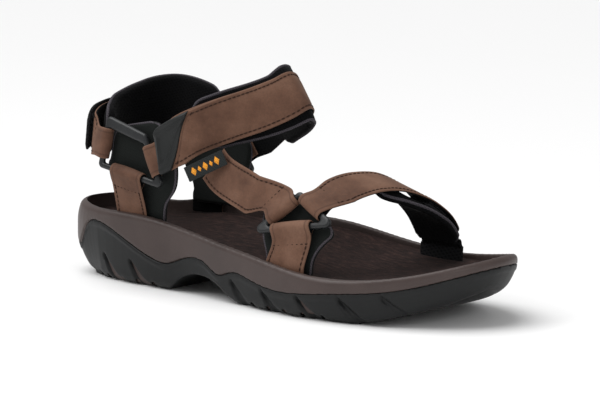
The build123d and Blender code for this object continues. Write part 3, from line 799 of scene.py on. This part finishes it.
def ribbed(along, across, half):
    """Cross ribs at the flap's free end, smooth woven cloth elsewhere."""
    grip = np.clip((along - heel_medial_path.length + 17 * MM) / (1.5 * MM), 0, 1)
    inside = np.clip((half - np.abs(across) - 1.5 * MM) / (1 * MM), 0, 1)
    return 0.55 * MM * grip * inside * (0.5 + 0.5 * np.sin(along * 2 * math.pi / (2.6 * MM)))


heel_skin = ribbon(
    "heel_strap_skin", heel_medial_path, LEATHER * MM, webbing, ribbed, corner=(0, 4 * MM), step=0.5 * MM
)
span_joint(
    heel_skin, "black_webbing", "heel_flap_peel", (0, -1, 0), "heel_strap_medial", "heel_strap_flap"
)

# Hook-and-loop patches.
patches = [
    ("toe_loop_patch", toe_route, 4.4, 6.2, 19, -FLAP_TO_PATCH, "toe_flap"),
    ("toe_hook_patch", toe_route, 4.4, 6.0, 19, -CLOSURE + FLAP_TO_PATCH, "sandal"),
    ("instep_hook_patch", instep_route, 3.4, 1.7, 21, -FLAP_TO_PATCH, "instep_flap"),
    ("instep_loop_patch", instep_route, 3.4, 1.2, 21, -CLOSURE + FLAP_TO_PATCH, "sandal"),
    ("heel_hook_patch", heel_route, 2.6, 1.0, 21, SEAM_LIFT + FLAP_TO_PATCH, "sandal"),
    ("heel_loop_patch", heel_route, 2.9, 1.0, 21, heel_high - FLAP_TO_PATCH, "heel_flap"),
]
for name, route, start, end, width, lift, body in patches:
    path = path_through(follow(route, start, end, width, lift))
    piece = ribbon(f"{name}_pile", path, PATCH * MM, hook_tape, corner=(2 * MM, 2 * MM))
    finish_piece(piece, body, "hook_and_loop", name)

toe_anchor_path = path_through(follow(toe_route, 4.2, 9, [24, 24, 29, 29], lift=-CLOSURE))
piece = ribbon("toe_anchor_skin", toe_anchor_path, LEATHER * MM, webbing, folded_edges(0, 1, 0.1 * MM))
finish_piece(piece, "sandal", "black_webbing", "medial_toe_anchor")


# ---------------------------------------------------------------- pads
def pad(name, stations, thickness, material, slot_name, node, corner, plump=0.8 * MM, piping=0.9 * MM):
    """A foam pad in a cloth cover, with piping round its outer edge."""
    path = path_through(stations)

    def soft(along, across, half):
        from_side = np.clip((half - np.abs(across)) / (6 * MM), 0, 1)
        from_end = np.clip(min(along, path.length - along) / (6 * MM), 0, 1)
        return plump * from_side * from_end * (1 + 0.12 * np.sin(along * 260) * np.cos(across * 210))

    piece = ribbon(f"{name}_foam", path, thickness * MM, material, soft, corner=corner)
    finish_piece(piece, "sandal", slot_name, node)
    points = outline_of(path, thickness * MM * 0.3, 0.35 * MM, corner)
    finish_piece(piping_tube(f"{name}_piping", points, piping), "sandal", slot_name)


toe_pad_lift = -CLOSURE - LEATHER / 2 - SEAM_GAP - PAD / 2
pad("toe_pad",
    follow(toe_route, 2.4, 6.6, [22, 27, 29, 30, 30], [-5.5, toe_pad_lift, toe_pad_lift, toe_pad_lift]),
    PAD, lining, "lining", "toe_pad", (8 * MM, 5 * MM))
under_base = CLOSURE + 1.5 * LEATHER + 2 * SEAM_GAP + PAD / 2 + 0.6
pad("instep_pad", follow(instep_route, 2.2, 9.6, [30, 32, 34, 38, 40, 40],
                         [-under_base, -under_base, -under_base + 2.6, -4, -3.6, -3.6]),
    PAD, lining, "lining", "instep_pad", (8 * MM, 8 * MM))
pad("heel_collar", follow(collar_route, 0, 8, [27, 29, 31, 32, 33, 33, 33, 31, 27], steps=3),
    COLLAR, lining, "lining", "heel_collar", (7 * MM, 9 * MM), plump=1.0 * MM)
front_backer_route = [
    ((190, -41.8, rim_at_front - 4), X), ((190, -40.8, 32), X), ((190, -37.6, 42), X),
    ((191, -34.4, 50), X), ((193, -30.5, 59), X),
]
pad("front_backer", follow(front_backer_route, 0, 4, [31, 33, 44, 50, 32]), PAD, backer_cloth,
    "backer_lining", "front_lateral_backer", (0, 8 * MM), plump=0.4 * MM, piping=0.7 * MM)
for side_name, side in (("lateral", -1), ("medial", 1)):
    node = f"rear_{side_name}_backer"
    rim_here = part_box(f"rear_{side_name}_anchor")[0][2] / MM + 10
    route = [((74, side * 29.6, rim_here - 3), X), ((74, side * 30.4, rim_here + 8), X),
             ((74, side * 32.4, rim_here + 18), X), ((74, side * 33.4, rim_here + 30), X),
             ((73, side * 33.4, rim_here + 38), X)]
    widths = [28, 32, 48, 52, 46]
    if side < 0:
        route.append(((70, side * 32.6, rim_here + 54), X))
        widths.append(36)
    pad(f"rear_{side_name}_backer", follow(route, 0, len(route) - 1, widths), PAD, backer_cloth,
        "backer_lining", node, (0, 8 * MM), plump=0.4 * MM, piping=0.7 * MM)

# ---------------------------------------------------------------- pull tab and label
tab_lift = (TAB - LEATHER) / 2 + PEEL_GAP
tab_length = 19 * MM


def tab_relief(along, across, half):
    """A raised triangular ridge, point outwards, and a bead round the tab's own edge."""
    up = across * top_side
    left = tab_length - along - 3.2 * MM
    right = along - 2.6 * MM + up * 0.35 - 1 * MM
    low = up - (-half * 0.62) - 0.2 * MM + (along - tab_length * 0.5) * 0.25
    inside = np.minimum(np.minimum(left, right), np.minimum(low, half - up - 2.2 * MM - along * 0.1))
    ridge = np.exp(-(((inside - 0.9 * MM) / (0.75 * MM)) ** 2))
    hollow = np.clip((inside - 1.8 * MM) / (1 * MM), 0, 1)
    rim = np.exp(-(((half - np.abs(across) - 1.0 * MM) / (0.8 * MM)) ** 2))
    return 0.35 * MM * rim + 0.75 * MM * ridge - 0.3 * MM * hollow


tab_path = path_through([
    (m + o * tab_lift * MM, a, o, h) for m, a, o, h in instep_stations(0.25)
])
tab_start = instep_end * tab_path.length / instep_path.length
piece = ribbon("instep_tab_skin", tab_path, TAB * MM, tab_rubber, tab_relief, corner=(0, 3.5 * MM),
               step=0.5 * MM, across_step=0.5 * MM, begin=tab_start, finish=tab_start + tab_length - 2 * MM,
               slants=(slant, 0))
finish_piece(piece, "instep_flap", "tab_rubber", "instep_pull_tab")

label_lift = LEATHER / 2 + SEAM_GAP + LABEL / 2
label_path = path_through(follow(label_route, 0, 1, 9, label_lift, steps=6))
piece = ribbon("side_label_weave", label_path, LABEL * MM, label_cloth, corner=(0.6 * MM, 0.6 * MM))
finish_piece(piece, "sandal", "label_weave", "side_label")
motif_points, motif_faces = [], []
for k in range(5):
    centre_along = label_path.length * (0.2 + 0.15 * k)
    middle, sideways, outward, _ = (v[0] for v in label_path.at([centre_along]))
    ahead = np.cross(outward, sideways)
    size = 1.55 * MM if k % 2 else 2.3 * MM
    lift = outward * (LABEL / 2 + 0.05) * MM
    start = len(motif_points)
    for turn in range(4):
        a = turn * math.pi / 2
        rim = middle + (sideways * math.cos(a) * size * 1.15 + ahead * math.sin(a) * size * 0.8)
        motif_points += [rim + lift, rim + lift * 0.2]
    motif_points.append(middle + lift + outward * 0.22 * MM)
    for turn in range(4):
        a, b = start + 2 * turn, start + 2 * ((turn + 1) % 4)
        motif_faces += [(a, b, start + 8), (a, a + 1, b + 1, b)]
piece = make_object("side_label_motif", motif_points, motif_faces, orange_thread)
finish_piece(piece, "sandal", "label_weave")


# ---------------------------------------------------------------- the sole
HEEL_X, TOE_X = -112 * MM, 105 * MM  # ends of the spine that the sole's edge is measured round
BINS = 720


def even_copy(node, voxel, smooth):
    """Points and faces of a CAD node with an even mesh and softened edges."""
    piece = nodes[node]
    remesh = piece.modifiers.new("even", "REMESH")
    remesh.mode = "VOXEL"
    remesh.voxel_size = voxel
    ease = piece.modifiers.new("ease", "SMOOTH")
    ease.factor = 0.5
    ease.iterations = smooth
    seen = piece.evaluated_get(bpy.context.evaluated_depsgraph_get())
    mesh = bpy.data.meshes.new_from_object(seen)
    piece.modifiers.clear()
    points = np.zeros(len(mesh.vertices) * 3, np.float32)
    mesh.vertices.foreach_get("co", points)
    return mesh, points.reshape(-1, 3).astype(float)


def round_the_sole(points):
    """Distance from the spine, its direction, and the bin round the sole's edge of each point."""
    x, y = points[:, 0], points[:, 1]
    spine_x = np.clip(x, HEEL_X, TOE_X)
    spine_y = np.interp(spine_x, [HEEL_X, 0, TOE_X], [-1 * MM, -1 * MM, 6 * MM])
    dx, dy = x - spine_x, y - spine_y
    reach = np.maximum(np.hypot(dx, dy), 1e-6)
    share = (spine_x - HEEL_X) / (TOE_X - HEEL_X)
    fan = np.arctan2(dy, np.abs(dx)) / math.pi + 0.5
    round_to = np.where(dy >= 0, share, 3 - share)
    round_to = np.where(x > TOE_X, 2 - fan, round_to)
    round_to = np.where(x < HEEL_X, 3 + fan, round_to)
    return reach, np.stack([dx, dy], 1) / reach[:, None], round_to * BINS / 4


def per_bin(where, values, biggest=True, reach=4):
    """The biggest or smallest value near each bin, eased round the sole."""
    fill = -1e9 if biggest else 1e9
    made = np.full(BINS, fill)
    (np.maximum if biggest else np.minimum).at(made, where.astype(int) % BINS, values)
    wide = [np.roll(made, k) for k in range(-reach, reach + 1)]
    made = np.max(wide, 0) if biggest else np.min(wide, 0)
    known = np.abs(made) < 1e8
    made = np.interp(np.arange(BINS), np.flatnonzero(known), made[known], period=BINS)
    return np.mean([np.roll(made, k) for k in range(-reach, reach + 1)], 0)


def looked_up(table, where):
    return np.interp(where, np.arange(BINS) + 0.5, table, period=BINS)


def rounding(depth, radius):
    """How far a rounded edge stands back at a depth below the edge."""
    share = np.clip(1 - depth / radius, 0, 0.995)
    return radius * (1 - np.sqrt(1 - share**2))


coarse = 1
sole_meshes = {
    "outsole": even_copy("outsole", 0.8 * MM * coarse, 3),
    "midsole": even_copy("midsole", 0.8 * MM * coarse, 3),
    "footbed": even_copy("footbed", 0.9 * MM * coarse, 4),
}
shell = np.vstack([sole_meshes["outsole"][1], sole_meshes["midsole"][1]])
shell_reach, _, shell_bin = round_the_sole(shell)
edge_reach = per_bin(shell_bin, shell_reach)
near_edge = looked_up(edge_reach, shell_bin) - shell_reach < 5 * MM
rim_height = per_bin(shell_bin[near_edge], shell[near_edge, 2], reach=3)
outsole_points = sole_meshes["outsole"][1]
outsole_reach, _, outsole_bin = round_the_sole(outsole_points)
at_edge = looked_up(edge_reach, outsole_bin) - outsole_reach < 4 * MM
ground = per_bin(outsole_bin[at_edge], outsole_points[at_edge, 2], biggest=False, reach=9)
panel_top = per_bin(outsole_bin[at_edge], outsole_points[at_edge, 2], reach=1)
GROOVES = [
    ((43, 15), (58, -2)), ((66, 14), (81, -2)), ((150, 13.5), (166, -2)), ((176, 12), (192, -2)),
    ((203, 12), (220, -2)), ((230, 14), (247, -1)), ((254, 17), (271, 3)),
]


def shaped(points, is_outsole):
    """The sole's sides as moulded: leaning in below, rounded at ground, toe, heel and rim."""
    reach, direction, where = round_the_sole(points)
    depth = looked_up(edge_reach, where) - reach
    z = points[:, 2]
    low, high = looked_up(ground, where), looked_up(rim_height, where)
    top = looked_up(panel_top, where)
    below_top = np.clip(top - z, 0, None)
    at_toe = np.clip((points[:, 0] - 95 * MM) / (45 * MM), 0, 1) ** 1.3
    at_heel = np.clip((-100 * MM - points[:, 0]) / (40 * MM), 0, 1)
    down = np.clip((high - z) / np.maximum(high - low, 1 * MM), 0, 1)
    inward = 0.13 * below_top + rounding(z - low, 6 * MM)
    inward += at_toe * 7 * MM * np.clip(down - 0.25, 0, 1) ** 2 / 0.5625
    heel_low = 8 * MM * np.clip(down - 0.45, 0, 1) ** 2 / 0.3
    heel_high_up = 3.0 * MM * np.clip(0.3 - down, 0, 1) ** 2 / 0.09
    inward += at_heel * (heel_low + heel_high_up)
    inward = np.minimum(inward, 10 * MM)
    shift = inward * np.clip(1 - depth / (24 * MM), 0, 1) ** 2
    shift += rounding(high - z, 3.2 * MM) * np.clip(1 - depth / (4.5 * MM), 0, 1)
    outer = np.clip(1 - depth / (4 * MM), 0, 1)
    if is_outsole:
        shift += outer * 0.55 * MM * np.clip((below_top - 3.2 * MM) / (0.8 * MM), 0, 1)
        for (x0, z0), (x1, z1) in GROOVES:
            start, run = np.array([x0 - 150, z0]) * MM, np.array([x1 - x0, z1 - z0]) * MM
            away = points[:, [0, 2]] - start
            share = np.clip(away @ run / run.dot(run), 0, 1)
            bowed = run[::-1] * [1, -1] * 0.09 * np.sin(share * math.pi)[:, None]
            gap = np.linalg.norm(away - run * share[:, None] - bowed, axis=1)
            width = (0.9 + 1.9 * share) * MM
            shift += outer * 2.6 * MM * np.exp(-((gap / width) ** 4))
    else:
        shift += outer * 0.5 * MM * np.exp(-((below_top / (1.2 * MM)) ** 2)) * (below_top > 0)
    moved = points.copy()
    moved[:, :2] -= direction * shift[:, None]
    return moved


def sole_piece(node, material, slot_name):
    mesh, points = sole_meshes[node]
    points = shaped(points, node == "outsole")
    mesh.vertices.foreach_set("co", points.astype(np.float32).ravel())
    mesh.polygons.foreach_set("use_smooth", [True] * len(mesh.polygons))
    mesh.materials.clear()
    mesh.materials.append(material)
    mesh.update()
    piece = bpy.data.objects.new(f"{node}_moulded", mesh)
    bpy.context.scene.collection.objects.link(piece)
    return finish_piece(piece, "sandal", slot_name, node)


sole_piece("outsole", outsole_rubber, "outsole_rubber")
sole_piece("midsole", midsole_foam, "midsole_foam")
sole_piece("footbed", footbed_fibre, "footbed_fabric")


# ---------------------------------------------------------------- rings and inner parts
def moulded(node, material, voxel, smooth):
    """Shows a CAD node with its edges rounded as a mould would leave them."""
    piece = nodes[node]
    piece.data.materials.clear()
    piece.data.materials.append(material)
    remesh = piece.modifiers.new("even", "REMESH")
    remesh.mode = "VOXEL"
    remesh.voxel_size = voxel
    remesh.use_smooth_shade = True
    ease = piece.modifiers.new("ease", "SMOOTH")
    ease.factor = 0.5
    ease.iterations = smooth


for node in ("front_ring", "rear_lateral_ring", "rear_medial_ring"):
    moulded(node, ring_plastic, 0.35 * MM * coarse, 5)
moulded("shank", ring_plastic, 0.5 * MM * coarse, 2)
moulded("heel_shock_pad", inner_foam, 0.6 * MM * coarse, 2)

# ---------------------------------------------------------------- floor, lights and camera
floor_mesh = bpy.data.meshes.new("floor")
floor_mesh.from_pydata([(-4, -4, 0), (4, -4, 0), (4, 4, 0), (-4, 4, 0)], [], [(0, 1, 2, 3)])
floor = bpy.data.objects.new("floor", floor_mesh)
bpy.context.scene.collection.objects.link(floor)
floor_material, _, floor_shader = new_material("pale_floor")
floor_shader.inputs["Base Color"].default_value = (0.93, 0.93, 0.93, 1)
floor_shader.inputs["Roughness"].default_value = 0.7
floor_mesh.materials.append(floor_material)
floor.location.z = -0.2 * MM

world = bpy.data.worlds.new("studio")
bpy.context.scene.world = world
world.use_nodes = True
world.node_tree.nodes["Background"].inputs["Color"].default_value = (1, 1, 1, 1)
world.node_tree.nodes["Background"].inputs["Strength"].default_value = 0.42


def area_light(name, spot, towards, size, power):
    data = bpy.data.lights.new(name, "AREA")
    data.shape = "RECTANGLE"
    data.size, data.size_y = size
    data.energy = power
    lamp = bpy.data.objects.new(name, data)
    lamp.location = spot
    lamp.rotation_euler = (Vector(towards) - Vector(spot)).to_track_quat("-Z", "Y").to_euler()
    bpy.context.scene.collection.objects.link(lamp)


area_light("key", (-0.5, -0.9, 0.9), (0, 0, 0.05), (0.6, 0.5), 4)
area_light("front", (1.2, -0.5, 0.6), (0, 0, 0.05), (0.6, 0.6), 3)
sun_data = bpy.data.lights.new("sun", "SUN")
sun_data.energy = 2.1
sun_data.angle = math.radians(50)
sun = bpy.data.objects.new("sun", sun_data)
sun.rotation_euler = Vector((0.35, 0.15, -1)).to_track_quat("-Z", "Y").to_euler()
bpy.context.scene.collection.objects.link(sun)

AZIMUTH, ELEVATION, ROLL = math.radians(38.4), math.radians(9.32), math.radians(0.67)
TARGET, DISTANCE, LENS = Vector((0, -0.0012, 0.03)), 1.4, 145.5
AIM_RIGHT, AIM_UP = 0.00807, 0.0175
back = Vector((
    math.sin(AZIMUTH) * math.cos(ELEVATION), -math.cos(AZIMUTH) * math.cos(ELEVATION), math.sin(ELEVATION)
))
level = Vector((math.cos(AZIMUTH), math.sin(AZIMUTH), 0))
upright = back.cross(level)
right = level * math.cos(ROLL) + upright * math.sin(ROLL)
up = upright * math.cos(ROLL) - level * math.sin(ROLL)
camera_data = bpy.data.cameras.new("camera")
camera_data.lens = LENS
camera_data.clip_end = 20
camera = bpy.data.objects.new("camera", camera_data)
bpy.context.scene.collection.objects.link(camera)
bpy.context.scene.camera = camera
look = (-back + right * AIM_RIGHT + up * AIM_UP).normalized()
right = (right - look * right.dot(look)).normalized()
up = right.cross(look)
camera.matrix_world = Matrix.Translation(TARGET + back * DISTANCE) @ Matrix(
    [(right.x, up.x, -look.x), (right.y, up.y, -look.y), (right.z, up.z, -look.z)]
).to_4x4()
